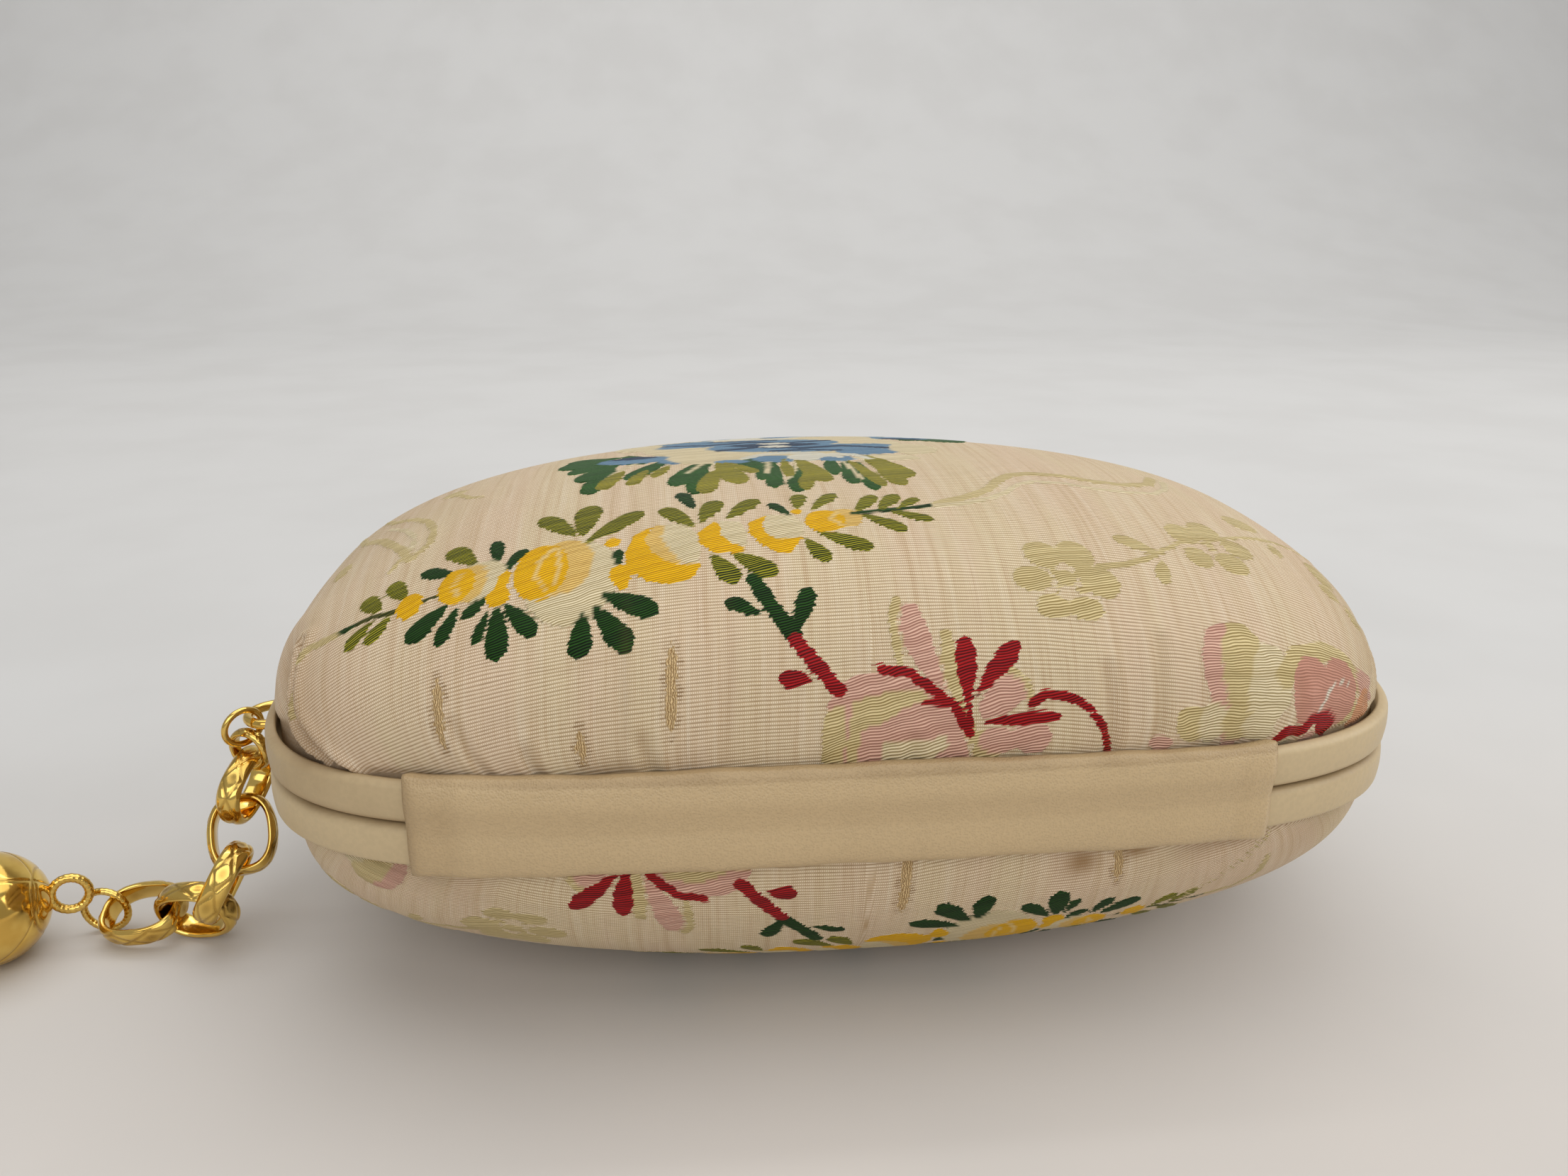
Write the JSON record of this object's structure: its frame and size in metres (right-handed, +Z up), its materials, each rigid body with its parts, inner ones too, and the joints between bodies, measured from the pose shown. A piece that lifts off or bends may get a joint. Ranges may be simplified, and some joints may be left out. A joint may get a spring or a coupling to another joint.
{
  "type": "evening clutch",
  "caption": "Oval hard-sided evening clutch: padded brocade domes on leather-covered rims joined by a leather hinge cover, with a gold wrist chain of oval links ending in a ball.",
  "frame": {"origin": "middle of the small flat that the lower dome rests on, on the surface that the clutch lies on", "axes": "+X along the hinge towards the end without the chain, +Y from the hinge side to the clasp side, +Z up through the lid"},
  "size_m": [0.2504, 0.1232, 0.0792],
  "materials": {
    "silk_brocade": "ribbed silk with woven flowers, soft sheen",
    "rim_leather": "smooth cream leather, slightly glossy",
    "hinge_leather": "finely pebbled beige leather",
    "gold_metal": "polished gold plate"
  },
  "bodies": {
    "root": {"lower_shell": "silk_brocade", "lower_rim": "rim_leather", "hinge_cover_lower": "hinge_leather", "clasp": "gold_metal", "chain_eye": "gold_metal", "upper_ring": "gold_metal", "band_ring": "gold_metal", "link_1": "gold_metal", "link_2": "gold_metal", "link_3": "gold_metal", "link_4": "gold_metal", "link_5": "gold_metal", "end_ring": "gold_metal", "ball": "gold_metal"},
    "lid": {"upper_shell": "silk_brocade", "upper_rim": "rim_leather", "hinge_cover_upper": "hinge_leather"}
  },
  "joints": [
    {"name": "lid_hinge", "type": "hinge", "parent": "root", "child": "lid", "pos_m": [0, -0.0616, 0.0396], "axis": [1, 0, 0], "range_deg": [0, 75]}
  ]
}
